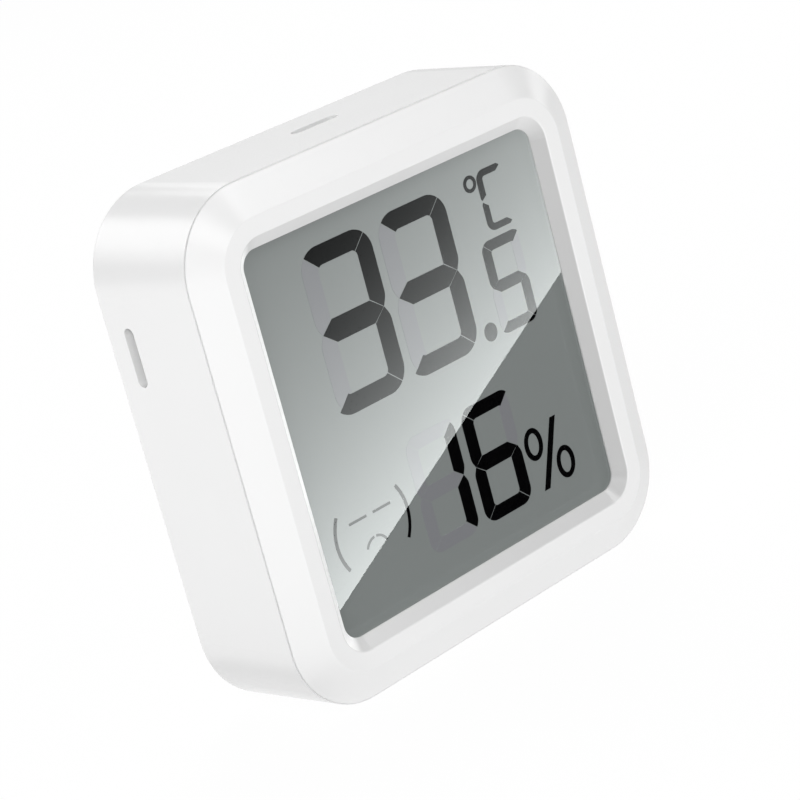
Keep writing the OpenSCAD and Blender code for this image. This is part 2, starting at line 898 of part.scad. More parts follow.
// The cell's negative cap, towards the board
module cell_cap() {
    color("lightgray")
        stand_up()
            rotate_extrude()
                polygon([
                    [0, cell_top - can_t], [cell_cap_r - can_t, cell_top - can_t],
                    [cell_cap_r - can_t, cell_mid], [cell_cap_r, cell_mid],
                    [cell_cap_r, cell_top - cell_bevel / 2],
                    [cell_cap_r - cell_bevel / 2, cell_top], [0, cell_top]
                ]);
}

// Pressed disc of active material inside the cell
module cell_core() {
    color("dimgray")
        stand_up()
            layer(cell_z + can_t, cell_top - can_t)
                circle(cell_cap_r - can_t - fit_gap);
}

// Places what belongs to the switch under the pairing button
module at_switch() {
    stand_up()
        translate([button_offset, -button_offset, 0])
            children();
}

// Body of the switch, bored for its plunger
module switch_base() {
    base_top = switch_top + switch_plate_t;
    color("black")
        at_switch()
            difference() {
                box([-switch_w / 2, -switch_w / 2, base_top], [switch_w / 2, switch_w / 2, board_back]);
                layer(base_top - past, base_top + plunger_flange_t + button_travel + 2 * move_gap)
                    circle(d = plunger_dia + 2 * plunger_flange_w + 2 * move_gap);
            }
}

// Steel plate on the switch, with the hole that the plunger comes through
module switch_plate() {
    color("silver")
        at_switch()
            layer(switch_top, switch_top + switch_plate_t)
                difference() {
                    square(switch_w, center = true);
                    circle(d = plunger_dia + 2 * move_gap);
                }
}

// Plunger with a flange that stays under the plate
module switch_plunger() {
    flange_z = switch_top + switch_plate_t + seat_gap;
    color("gold")
        at_switch() {
            layer(plunger_tip, flange_z)
                circle(d = plunger_dia);
            layer(flange_z, flange_z + plunger_flange_t)
                circle(d = plunger_dia + 2 * plunger_flange_w);
        }
}

// Pairing button: head in the cover's bore, flange behind it and stem down to the switch
module pairing_button() {
    head_z = button_recess + edge_bevel;
    stem_z = button_z + button_flange_t;
    color("white")
        at_switch() {
            translate([0, 0, button_recess])
                cylinder(d1 = button_dia - 2 * edge_bevel, d2 = button_dia, h = edge_bevel);
            layer(head_z, button_z)
                circle(d = button_dia);
            layer(button_z, stem_z)
                circle(d = button_dia + 2 * button_flange_w);
            layer(stem_z, plunger_tip - seat_gap)
                circle(d = stem_dia);
        }
}

front_bezel();
main_housing();
back_cover();
battery_door();
window_tape();
display_window();
front_polariser();
front_glass();
rear_glass();
reflector();
display_holder();
contact_strip();
main_board();
controller_chip();
driver_chip();
sensor_chip();
crystal();
capacitors();
resistors();
negative_contact();
positive_contact();
cell_can();
cell_ring();
cell_cap();
cell_core();
switch_base();
switch_plate();
switch_plunger();
pairing_button();
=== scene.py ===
"""Looks of a pocket temperature and humidity sensor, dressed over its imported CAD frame."""
import json
import logging
import math
from collections.abc import Sequence
from dataclasses import dataclass, replace
from enum import Enum
from typing import ClassVar

import bmesh
import bpy
from mathutils import Matrix, Vector


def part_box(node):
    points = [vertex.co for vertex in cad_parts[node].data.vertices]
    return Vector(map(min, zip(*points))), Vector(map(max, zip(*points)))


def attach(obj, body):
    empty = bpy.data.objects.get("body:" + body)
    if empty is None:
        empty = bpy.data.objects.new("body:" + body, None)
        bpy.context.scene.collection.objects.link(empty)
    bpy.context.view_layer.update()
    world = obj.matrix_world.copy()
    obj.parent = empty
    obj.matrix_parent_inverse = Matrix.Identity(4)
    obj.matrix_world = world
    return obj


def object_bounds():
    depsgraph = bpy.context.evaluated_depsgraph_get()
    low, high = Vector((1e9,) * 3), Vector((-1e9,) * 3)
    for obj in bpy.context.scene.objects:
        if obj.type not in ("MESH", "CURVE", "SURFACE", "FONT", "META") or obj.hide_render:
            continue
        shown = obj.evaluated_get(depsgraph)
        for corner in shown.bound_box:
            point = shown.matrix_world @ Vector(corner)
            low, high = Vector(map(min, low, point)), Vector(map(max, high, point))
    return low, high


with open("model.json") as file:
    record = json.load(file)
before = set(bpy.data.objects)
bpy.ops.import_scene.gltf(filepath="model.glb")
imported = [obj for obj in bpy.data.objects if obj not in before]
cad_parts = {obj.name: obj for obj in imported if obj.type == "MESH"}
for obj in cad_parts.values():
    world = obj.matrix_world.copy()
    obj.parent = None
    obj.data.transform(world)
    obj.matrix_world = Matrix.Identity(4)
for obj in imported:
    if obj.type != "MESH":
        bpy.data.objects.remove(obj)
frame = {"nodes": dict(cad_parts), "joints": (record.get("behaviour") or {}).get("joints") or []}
CAD_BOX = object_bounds()

LOG = logging.getLogger("sensor")
MM = 0.001
WHITE = "#FFFFFF"

Node = bpy.types.Node
Socket = bpy.types.NodeSocket
Tree = bpy.types.NodeTree
Colour = tuple[float, float, float, float]
Flat = tuple[float, float]
Point = tuple[float, float, float]
Outline = Sequence[Point]


def linear(code: str) -> Colour:
    """Turns an sRGB hex colour into linear light.

    Args:
        code: Six hex digits after a hash sign.

    Returns:
        Red, green, blue and an alpha of one.
    """
    parts = [int(code[i:i + 2], 16) / 255 for i in (1, 3, 5)]
    light = [p / 12.92 if p <= 0.04045 else ((p + 0.055) / 1.055) ** 2.4 for p in parts]
    return light[0], light[1], light[2], 1.0


def per_metre(size_mm: float) -> float:
    """Texture scale at which one cell of a pattern has this size."""
    return 1 / (size_mm * MM)


def empty_tree(owner: bpy.types.Material | bpy.types.World) -> Tree:
    """Turns on the shader nodes of a material or a world and clears them.

    Args:
        owner: The material or the world.

    Returns:
        Its empty node tree.
    """
    owner.use_nodes = True
    owner.node_tree.nodes.clear()
    return owner.node_tree


def add(tree: Tree, kind: str, feeds: dict | None = None, **settings) -> Node:
    """Adds a shader node with its settings and links.

    Args:
        tree: The material's node tree.
        kind: The node's class name, after "ShaderNode".
        feeds: Input names or numbers, each with a socket to link or a value to set.
        settings: Attributes of the node itself.

    Returns:
        The new node.
    """
    node = tree.nodes.new("ShaderNode" + kind)
    for key, value in settings.items():
        setattr(node, key, value)
    for key, value in (feeds or {}).items():
        if isinstance(value, Socket):
            tree.links.new(value, node.inputs[key])
        else:
            node.inputs[key].default_value = value
    return node


def reckon(tree: Tree, operation: str, *values: Socket | float) -> Socket:
    """Adds a math node.

    Args:
        tree: The material's node tree.
        operation: What the node works out.
        values: Its inputs in order.

    Returns:
        The result.
    """
    return add(tree, "Math", dict(enumerate(values)), operation=operation).outputs[0]


def mix_tones(tree: Tree, share: Socket, first: Socket | Colour, second: Socket | Colour) -> Socket:
    """Adds a mix of two colours.

    Args:
        tree: The material's node tree.
        share: How much of the second colour there is.
        first: The first colour.
        second: The second colour.

    Returns:
        The mixed colour.
    """
    feeds = {"Factor": share, "A": first, "B": second}
    return add(tree, "Mix", feeds, data_type="RGBA").outputs["Result"]


def make_object(
    name: str, shape: bmesh.types.BMesh, material: bpy.types.Material,
) -> bpy.types.Object:
    """Turns a finished shape into an object of the scene.

    Args:
        name: Name of the object.
        shape: The shape, which is freed.
        material: The object's only material.

    Returns:
        The object, at the origin.
    """
    data = bpy.data.meshes.new(name)
    shape.to_mesh(data)
    shape.free()
    data.materials.append(material)
    made = bpy.data.objects.new(name, data)
    bpy.context.scene.collection.objects.link(made)
    return made


def all_but(name: str, left_out: tuple[str, ...]) -> bpy.types.Collection:
    """Makes a light-linking collection that stands for all objects but a few.

    Args:
        name: Name of the collection.
        left_out: Names of the objects that it leaves out.

    Returns:
        The collection.
    """
    made = bpy.data.collections.new(name)
    for left in left_out:
        made.objects.link(bpy.data.objects[left])
    for row in made.collection_objects:
        row.light_linking.link_state = "EXCLUDE"
    return made


class Facing(Enum):
    """The way a flat mark on the body looks."""

    FRONT = "front"
    BACK = "back"


@dataclass(frozen=True)
class Finish:
    """A surface with two close tones, a fine grain in its relief and a varied gloss."""

    name: str
    tone: str
    second_tone: str
    roughness: float
    roughness_spread: float = 0.06
    patch_mm: float = 6.0
    grain_mm: float = 0.25
    grain_depth_mm: float = 0.004
    metallic: float = 0.0
    ior: float = 1.5
    specular: float = 0.5
    glow: float = 0.0
    coat: float = 0.0
    stretch: Point = (1.0, 1.0, 1.0)

    COAT_ROUGHNESS: ClassVar[float] = 0.004
    PATCH_DETAIL: ClassVar[float] = 3.0
    GRAIN_DETAIL: ClassVar[float] = 2.0
    RELIEF: ClassVar[float] = 0.35

    def material(self) -> bpy.types.Material:
        """Makes the finish's material, once.

        Returns:
            The material.
        """
        made = bpy.data.materials.get(self.name)
        if not made:
            made = bpy.data.materials.new(self.name)
            tree = empty_tree(made)
            add(tree, "OutputMaterial", {"Surface": self.shade(tree).outputs[0]})
        return made

    def shade(self, tree: Tree) -> Node:
        """Builds the shader.

        Args:
            tree: The material's empty node tree.

        Returns:
            The node whose first output is the surface.
        """
        place = add(tree, "TexCoord").outputs["Object"]
        drawn = add(tree, "Mapping", {"Vector": place, "Scale": self.stretch}).outputs[0]
        patches = add(tree, "TexNoise", {
            "Vector": drawn, "Scale": per_metre(self.patch_mm), "Detail": self.PATCH_DETAIL,
        })
        grain = add(tree, "TexNoise", {
            "Vector": drawn, "Scale": per_metre(self.grain_mm), "Detail": self.GRAIN_DETAIL,
        })
        return self.surface(tree, place, patches.outputs[0], grain.outputs[0])

    def surface(self, tree: Tree, place: Socket, patches: Socket, grain: Socket) -> Node:
        """Joins the patterns in one shader.

        Args:
            tree: The material's node tree.
            place: Object coordinates.
            patches: The slow pattern, for tone.
            grain: The fine pattern, for gloss and relief.

        Returns:
            The shader node.
        """
        gloss = add(tree, "MapRange", {
            "Value": grain,
            "To Min": self.roughness - self.roughness_spread,
            "To Max": self.roughness + self.roughness_spread,
        })
        relief = add(tree, "Bump", {
            "Height": grain, "Strength": self.RELIEF, "Distance": self.grain_depth_mm * MM,
        })
        return add(tree, "BsdfPrincipled", {
            "Base Color": self.colour(tree, place, patches),
            "Roughness": gloss.outputs[0],
            "Normal": relief.outputs[0],
            "Metallic": self.metallic,
            "IOR": self.ior,
            "Specular IOR Level": self.specular,
            # Emission by the finish's own tone: painted light wherever glow is set.
            "Emission Color": linear(self.tone),
            "Emission Strength": self.glow,
            "Coat Weight": self.coat,
            "Coat Roughness": self.COAT_ROUGHNESS,
        })

    def colour(self, tree: Tree, place: Socket, patches: Socket) -> Socket:
        """Mixes the two tones by the slow pattern.

        Args:
            tree: The material's node tree.
            place: Object coordinates, for finishes that change from place to place.
            patches: The slow pattern.

        Returns:
            The colour socket.
        """
        return mix_tones(tree, patches, linear(self.tone), linear(self.second_tone))


@dataclass(frozen=True)
class ClearPane(Finish):
    """Clear sheet that passes light unbent and mirrors by Fresnel on its outer side."""

    def surface(self, tree: Tree, place: Socket, patches: Socket, grain: Socket) -> Node:
        """Mixes a clear film with a mirror.

        Args:
            tree: The material's node tree.
            place: Object coordinates, not used here.
            patches: The slow pattern, for a hardly seen change of gloss.
            grain: The fine pattern, not used on a polished sheet.

        Returns:
            The mix node.
        """
        clear = add(tree, "BsdfTransparent", {"Color": linear(self.tone)})
        gloss = add(tree, "MapRange", {"Value": patches, "To Min": 0.0, "To Max": self.roughness})
        mirror = add(tree, "BsdfGlossy", {
            "Color": linear(self.second_tone), "Roughness": gloss.outputs[0],
        })
        fresnel = add(tree, "Fresnel", {"IOR": self.ior}).outputs[0]
        outer = reckon(tree, "SUBTRACT", 1.0, add(tree, "NewGeometry").outputs["Backfacing"])
        share = reckon(tree, "MULTIPLY", fresnel, outer)
        return add(tree, "MixShader", {0: share, 1: clear.outputs[0], 2: mirror.outputs[0]})


@dataclass(frozen=True)
class SlopeWithPaintedShadeAndLight(Finish):
    """A finish with painted shade and light on the slope between the bezel's front ring and the
    window.

    The slope's colour is mixed towards a grey tone by the way it faces: painted shade, most where
    it faces left and none where it faces down. Where it faces right, it glows: painted light.
    """

    # Tone and facing limits of the painted shade, then strength and facing limits of the painted
    # light.
    painted_shade_tone: str = "#BFBFBF"
    shade_down_weight: float = 0.95
    full_shade_facing: float = -0.67
    no_shade_facing: float = 0.5
    painted_lip_glow: float = 0.37
    lip_from: float = 0.25
    lip_full: float = 0.55
    slope_half_mm: float = 17.3
    ring_mm: float = -6.25
    rim_from_mm: float = 0.02
    rim_full_mm: float = 0.1
    middle_mm: float = 21.5

    def surface(self, tree: Tree, place: Socket, patches: Socket, grain: Socket) -> Node:
        """Joins the patterns and paints light on the slope's right-facing side.

        Args:
            tree: The material's node tree.
            place: Object coordinates.
            patches: The slow pattern, for tone.
            grain: The fine pattern, for gloss and relief.

        Returns:
            The shader node.
        """
        shader = super().surface(tree, place, patches, grain)
        # Painted light: the slope glows by its own tone where it faces right.
        painted_lip_light = add(tree, "MapRange", {
            "Value": self.normal(tree).outputs["X"], "From Min": self.lip_from,
            "From Max": self.lip_full, "To Max": self.painted_lip_glow,
        })
        glow = reckon(tree, "MULTIPLY", self.slope(tree, place), painted_lip_light.outputs[0])
        tree.links.new(glow, shader.inputs["Emission Strength"])
        return shader

    def normal(self, tree: Tree) -> Node:
        """Adds a node that splits the way the surface faces."""
        return add(tree, "SeparateXYZ", {0: add(tree, "TexCoord").outputs["Normal"]})

    def slope(self, tree: Tree, place: Socket) -> Socket:
        """Finds the slope.

        Args:
            tree: The material's node tree.
            place: Object coordinates.

        Returns:
            One where the surface lies inside the ring and behind it, and nothing elsewhere.
        """
        spot = add(tree, "SeparateXYZ", {0: place})
        across = reckon(tree, "ABSOLUTE", spot.outputs["X"])
        rise = reckon(tree, "SUBTRACT", spot.outputs["Z"], self.middle_mm * MM)
        reach = reckon(tree, "MAXIMUM", across, reckon(tree, "ABSOLUTE", rise))
        inside = reckon(tree, "LESS_THAN", reach, self.slope_half_mm * MM)
        depth = add(tree, "MapRange", {
            "Value": spot.outputs["Y"],
            "From Min": (self.ring_mm + self.rim_from_mm) * MM,
            "From Max": (self.ring_mm + self.rim_full_mm) * MM,
        })
        return reckon(tree, "MULTIPLY", inside, depth.outputs[0])

    def colour(self, tree: Tree, place: Socket, patches: Socket) -> Socket:
        """Paints shade on the slope by the way it faces.

        Args:
            tree: The material's node tree.
            place: Object coordinates.
            patches: The slow pattern.

        Returns:
            The colour socket.
        """
        # Painted shade: the slope is mixed towards the grey tone, most where it faces left.
        facing = self.normal(tree)
        down = reckon(tree, "MINIMUM", facing.outputs["Z"], 0.0)
        shade_facing = reckon(tree, "MULTIPLY_ADD", down, -self.shade_down_weight, facing.outputs["X"])
        painted_shade = add(tree, "MapRange", {
            "Value": shade_facing, "From Min": self.full_shade_facing, "From Max": self.no_shade_facing,
            "To Min": 1.0, "To Max": 0.0,
        })
        painted_shade_amount = reckon(tree, "MULTIPLY", self.slope(tree, place), painted_shade.outputs[0])
        plain = super().colour(tree, place, patches)
        return mix_tones(tree, painted_shade_amount, plain, linear(self.painted_shade_tone))


@dataclass(frozen=True)
class BandedFinish(Finish):
    """A finish with straight bands of the second tone across one axis."""

    band_mm: float = 0.2
    band_axis: str = "Z"
    waver: float = 0.4
    edge_from: float = 0.45
    edge_full: float = 0.55

    WAVE_PERIOD: ClassVar[float] = math.tau / 20

    def colour(self, tree: Tree, place: Socket, patches: Socket) -> Socket:
        """Mixes the two tones by straight bands.

        Args:
            tree: The material's node tree.
            place: Object coordinates.
            patches: The slow pattern, not used for the bands.

        Returns:
            The colour socket.
        """
        bands = add(tree, "TexWave", {
            "Vector": place, "Scale": per_metre(self.band_mm) * self.WAVE_PERIOD,
            "Distortion": self.waver,
        }, bands_direction=self.band_axis)
        edge = add(tree, "MapRange", {
            "Value": bands.outputs[1], "From Min": self.edge_from, "From Max": self.edge_full,
        })
        return mix_tones(tree, edge.outputs[0], linear(self.tone), linear(self.second_tone))


@dataclass(frozen=True)
class TracedBoard(Finish):
    """Solder mask with paler copper runs under it."""

    run_mm: float = 1.2
    run_width: float = 0.09
    run_length: float = 2.6

    def colour(self, tree: Tree, place: Socket, patches: Socket) -> Socket:
        """Lays square copper runs under the mask.

        Args:
            tree: The material's node tree.
            place: Object coordinates.
            patches: The slow pattern, not used for the runs.

        Returns:
            The colour socket.
        """
        flat = add(tree, "Mapping", {"Vector": place, "Rotation": (math.pi / 2, 0.0, 0.0)})
        runs = add(tree, "TexBrick", {
            "Vector": flat.outputs[0], "Color1": linear(self.tone), "Color2": linear(self.tone),
            "Mortar": linear(self.second_tone), "Scale": per_metre(self.run_mm),
            "Mortar Size": self.run_width, "Brick Width": self.run_length, "Row Height": 1.0,
        })
        return runs.outputs[0]


# ABS shells from a fine spark-eroded tool: white, satin, with a grain that softens the gloss.
SHELL = Finish("moulded_white_abs", "#F4F4F4", "#F1F1F1", 0.24, 0.04, 9.0, 0.16, 0.0025, ior=1.53)
# The same ABS on the bezel, with painted shade and painted light on its inner slope: greyer by the
# way it faces, glowing where it faces right.
BEZEL = SlopeWithPaintedShadeAndLight(
    "moulded_white_abs_painted_slope_shade_and_light", "#F4F4F4", "#F1F1F1", 0.24, 0.04, 9.0, 0.16, 0.0025, ior=1.53,
)
# Cast acrylic window, polished: clear, with one sharp mirror image on its outer face.
WINDOW = ClearPane("cast_clear_acrylic", "#FCFCFC", WHITE, 0.003, patch_mm=12.0, ior=1.49)
# Hard-coated polarising film over the crystal and its grey reflector: flat greenish grey, smooth,
# and glowing by its own tone as painted light.
FILM = Finish(
    "grey_polariser_film", "#6E7271", "#6C706F", 0.5, 0.05, 8.0, 0.12, 0.001,
    specular=0.0, glow=1.0, coat=1.0,
)
# Driven crystal seen between crossed films: nearly black, slightly blue.
DRIVEN = Finish(
    "driven_liquid_crystal", "#010102", "#020203", 0.5, 0.04, 2.0, 0.1, 0.0005, specular=0.0,
)
# Idle crystal over its clear electrode: a trace darker and more purple than the film, and glowing
# like it as painted light.
IDLE = Finish(
    "idle_liquid_crystal", "#6C6D70", "#6A6B6E", 0.5, 0.04, 4.0, 0.1, 0.0005,
    specular=0.0, glow=1.0, coat=1.0,
)
# Adhesive film on a paper-white carrier: dull, slightly uneven.
TAPE = Finish("white_adhesive_film", "#E4E4DF", "#D9D9D3", 0.7, 0.1, 1.5, 0.2, 0.004)
# Soda-lime display glass, ground edges: clear with a green cast.
GLASS = ClearPane("soda_lime_display_glass", "#DDE8E2", WHITE, 0.02, patch_mm=8.0, ior=1.52)
# Aluminised film behind the crystal: grey metal with a fine sparkle.
REFLECTOR = Finish("aluminised_film", "#A9ABA8", "#9B9D9A", 0.42, 0.08, 3.0, 0.08, 0.002, 0.8)
# ABS holder, moulded in a plain polished tool: a duller white than the shells.
HOLDER = Finish("moulded_natural_abs", "#E6E5E0", "#DFDED8", 0.5, 0.06, 5.0, 0.3, 0.004)
# Silicone strip with carbon layers: pink, soft, with dark lines close together.
STRIP = BandedFinish(
    "layered_silicone", "#D98F95", "#2A2526", 0.6, 0.08, band_mm=0.3, band_axis="X",
)
# Epoxy laminate under green solder mask: glossy green with paler copper runs.
BOARD = TracedBoard("masked_epoxy_laminate", "#0E4A28", "#1C6B3C", 0.32, 0.06, 4.0, 0.2, 0.004)
# Moulded epoxy chip bodies: charcoal, dull, finely pitted.
RESIN = Finish("moulded_black_epoxy", "#2A2A2C", "#222224", 0.62, 0.08, 0.8, 0.06, 0.003)
# Nickel-plated lid of the crystal: pale metal, lightly drawn along its length.
LID = Finish(
    "plated_lid", "#C9C2B4", "#B5AE9F", 0.3, 0.08, 1.2, 0.08, 0.002,
    metallic=1.0, stretch=(4.0, 1.0, 0.3),
)
# Fired ceramic capacitor bodies: tan, waxy.
TAN_CERAMIC = Finish("tan_fired_ceramic", "#A98055", "#96703F", 0.5, 0.08, 0.5, 0.05, 0.003)
# Resistor bodies under a black glaze: dark, half glossy.
BLACK_CERAMIC = Finish("black_glazed_ceramic", "#1C1C1E", "#2A2A2D", 0.38, 0.08, 0.4, 0.05, 0.003)
# Nickel-plated spring strip: bright, rolled along its length.
SPRING = Finish(
    "plated_spring_strip", "#CFCDC7", "#B9B7B1", 0.26, 0.08, 1.5, 0.1, 0.003,
    metallic=1.0, stretch=(0.2, 2.0, 2.0),
)
# Nickel-plated deep-drawn steel of the cell: bright, with a faint grain.
CELL = Finish("nickel_plated_steel", "#D2D2CF", "#BEBEBB", 0.22, 0.07, 2.5, 0.12, 0.002, 1.0)
# Polypropylene seal of the cell: dark, waxy.
SEAL = Finish("dark_polypropylene", "#313437", "#282B2E", 0.45, 0.06, 1.0, 0.1, 0.003)
# Pressed powder inside the cell: black, dull, granular.
PELLET = Finish("pressed_black_powder", "#2B2B2A", "#1D1D1C", 0.9, 0.05, 0.6, 0.08, 0.01)
# Glass-filled nylon of the switch: black, slightly fibrous.
NYLON = Finish("black_filled_nylon", "#1F1F20", "#28282A", 0.55, 0.08, 0.6, 0.08, 0.004)
# Stamped stainless plate of the switch: grey, brushed one way.
STAMPED = Finish(
    "stamped_stainless", "#C4C4C2", "#AEAEAC", 0.3, 0.08, 1.0, 0.06, 0.002,
    metallic=1.0, stretch=(0.2, 1.0, 3.0),
)
# Pad-printed ink on the back: soft grey, thin, slightly uneven.
INK = Finish("grey_pad_print", "#8F8F8D", "#A3A3A1", 0.6, 0.08, 0.7, 0.1, 0.001)


class SubAssembly:
    """CAD nodes that belong together, with the finish of each."""

    FINISHES: ClassVar[dict[str, Finish]] = {}

    def dress(self) -> None:
        """Gives every CAD node of the sub-assembly its finish."""
        for name, finish in self.FINISHES.items():
            made = finish.material()
            for place in frame["nodes"][name].material_slots:
                place.material = made
            LOG.info("%s: %s", name, finish.name)


@dataclass
class Sheet:
    """A drawing of thin plates on one face of the body, in millimetres from the body's middle."""

    name: str
    finish: Finish
    body: str
    facing: Facing
    level: float
    thickness: float
    slot: str

    CORNER_STEPS: ClassVar[int] = 4
    RING_STEPS: ClassVar[int] = 40
    BOW_STEPS: ClassVar[int] = 12
    WELD_M: ClassVar[float] = 1e-6

    def __post_init__(self) -> None:
        """Starts an empty mesh."""
        self.mesh = bmesh.new()

    def raise_faces(self, faces: list[bmesh.types.BMFace]) -> None:
        """Gives flat faces their thickness.

        Args:
            faces: Faces that lie in the drawing's plane.
        """
        grown = bmesh.ops.extrude_face_region(self.mesh, geom=faces)["geom"]
        tops = [g for g in grown if isinstance(g, bmesh.types.BMVert)]
        bmesh.ops.translate(self.mesh, verts=tops, vec=(0, 0, self.thickness))

    def plate(self, outline: Outline) -> None:
        """Adds a plate with rounded corners.

        Args:
            outline: Corners in order, each with its x, its y and how far back its rounding starts.
        """
        corners = [self.mesh.verts.new((x, y, 0)) for x, y, _ in outline]
        self.mesh.faces.new(corners)
        for vert, (_, _, cut) in zip(corners, outline):
            if cut > 0:
                bmesh.ops.bevel(
                    self.mesh, geom=[vert], offset=cut, offset_type="OFFSET",
                    segments=self.CORNER_STEPS, profile=0.5, affect="VERTICES", material=-1,
                )
        flat = next(f for f in self.mesh.faces if all(len(e.link_faces) == 1 for e in f.edges))
        self.raise_faces([flat])

    def ring(self, centre: Point, radii: Flat, stroke: float) -> None:
        """Adds a round or oval ring, or a disc.

        Args:
            centre: Middle of the ring, with a height of zero.
            radii: Outer radii across and up.
            stroke: Width of the ring, or zero for a disc.
        """
        rims = []
        for inset in (0.0, stroke) if stroke else (0.0,):
            rim = bmesh.ops.create_circle(
                self.mesh, cap_ends=not stroke, segments=self.RING_STEPS, radius=1,
            )["verts"]
            bmesh.ops.scale(self.mesh, verts=rim, vec=(radii[0] - inset, radii[1] - inset, 1))
            bmesh.ops.translate(self.mesh, verts=rim, vec=centre)
            rims.append(rim)
        if stroke:
            edges = list(dict.fromkeys(e for rim in rims for v in rim for e in v.link_edges))
            self.raise_faces(bmesh.ops.bridge_loops(self.mesh, edges=edges)["faces"])
        else:
            self.raise_faces(list(rims[0][0].link_faces))

    def bow(self, centre: Point, radius: float, stroke: float, start: float, sweep: float) -> None:
        """Adds a bowed stroke.

        Args:
            centre: Middle of the circle that the stroke follows.
            radius: Radius of the stroke's middle line.
            stroke: Width of the stroke.
            start: Angle of its first end, in degrees.
            sweep: Angle that it covers, in degrees.
        """
        turn = Matrix.Rotation(math.radians(start), 3, "Z")
        ends = []
        for reach in (radius - stroke / 2, radius + stroke / 2):
            ends.append(self.mesh.verts.new(Vector(centre) + turn @ Vector((reach, 0, 0))))
        edge = self.mesh.edges.new(ends)
        before = set(self.mesh.faces)
        bmesh.ops.spin(
            self.mesh, geom=[*ends, edge], cent=centre, axis=(0, 0, 1),
            angle=math.radians(sweep), steps=self.BOW_STEPS,
        )
        self.raise_faces([f for f in self.mesh.faces if f not in before])

    def finish_piece(self) -> None:
        """Turns the drawing onto its face and makes it a piece that rides on its body."""
        turn = Matrix.Rotation(math.pi / 2, 4, "X")
        if self.facing is Facing.BACK:
            turn = Matrix.Rotation(math.pi, 4, "Z") @ turn
        middle = Vector((0, self.level, (CAD_BOX[0].z + CAD_BOX[1].z) / 2))
        self.mesh.transform(Matrix.Translation(middle) @ turn @ Matrix.Scale(MM, 4))
        bmesh.ops.remove_doubles(self.mesh, verts=self.mesh.verts, dist=self.WELD_M)
        bmesh.ops.recalc_face_normals(self.mesh, faces=self.mesh.faces)
        piece = make_object(self.name, self.mesh, self.finish.material())
        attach(piece, self.body)
        LOG.info("%s: %d faces on %s", self.name, len(piece.data.polygons), self.body)


@dataclass(frozen=True)
class Digit:
    """Seven segments with mitred ends, rounded corners and drawn-in waists, in millimetres.

    The head bar's right end and the foot bar's left end can reach past the mitre, by their toes.
    """

    left: float
    right: float
    foot: float
    head: float
    post: float
    bar: float
    middle_bar: float
    corner: float
    gap: float
    head_toe: float = 0.0
    foot_toe: float = 0.0

    LIT: ClassVar[dict[str, str]] = {"1": "BC", "3": "ABCDG", "5": "ACDFG", "6": "ACDEFG"}
    # Depth and rise of a post's waist against its width, its rounding against that rise, the inner
    # corner against the outer one, and the gap at the waist against the other gaps.
    NOTCH: ClassVar[float] = 0.26
    RISE: ClassVar[float] = 0.5
    WAIST_ROUND: ClassVar[float] = 0.4
    INNER_CORNER: ClassVar[float] = 0.25
    WAIST_GAP: ClassVar[float] = 1 / 3

    @staticmethod
    def mitre(radius: float) -> Point:
        """Works out a rounded corner that two segments share.

        Args:
            radius: Radius of the corner.

        Returns:
            How far the mitre lies inside the square corner, where the rounding starts beside it,
            and the rounding's own offset there.
        """
        root = math.sqrt(2)
        return radius * (1 - math.sqrt(0.5)), radius * (2 - root), radius * (root - 1)

    def moved(self, step: float) -> "Digit":
        """The same digit, farther to the right."""
        return replace(self, left=self.left + step, right=self.right + step)

    def segments(self) -> dict[str, Outline]:
        """Works out the seven outlines.

        Returns:
            Each segment's letter with its corners.
        """
        centre, waist = (self.left + self.right) / 2, (self.foot + self.head) / 2
        across, up = self.right - centre, self.head - waist
        inside, under = across - self.post, up - self.bar
        cut, tangent, bend = self.mitre(self.corner)
        nick, slip, soft = self.mitre(self.INNER_CORNER * self.corner)
        notch, rise = self.NOTCH * self.post, self.RISE * self.post
        gap, half_bar = self.gap, self.middle_bar / 2
        post = [
            (across - cut, up - cut - gap, 0), (across, up - tangent, bend),
            (across, rise, self.WAIST_ROUND * rise), (across - notch, gap * self.WAIST_GAP, 0),
            (inside, half_bar + gap, 0), (inside, under - gap - slip, soft),
            (inside - nick, under - gap - nick, 0),
        ]
        right_end = ((across - notch - gap, 0), (inside - gap, half_bar), (gap - inside, half_bar))
        middle = [(side * x, side * y, 0) for side in (1, -1) for x, y in right_end]
        head, foot = (
            [
                (cut + gap - across, up - cut, 0), (tangent - across, up, bend),
                (across - tangent + toe, up, bend), (across - cut - gap + toe, up - cut, 0),
                (inside - gap - nick + toe, under - nick, 0),
                (inside - gap - slip + toe, under, soft),
                (gap + slip - inside, under, soft), (gap + nick - inside, under - nick, 0),
            ]
            for toe in (self.head_toe, self.foot_toe)
        )
        shapes = {
            "A": (head, 1, 1), "B": (post, 1, 1), "C": (post, 1, -1), "D": (foot, -1, -1),
            "E": (post, -1, -1), "F": (post, -1, 1), "G": (middle, 1, 1),
        }
        return {
            letter: [(centre + sx * x, waist + sy * y, back) for x, y, back in outline]
            for letter, (outline, sx, sy) in shapes.items()
        }


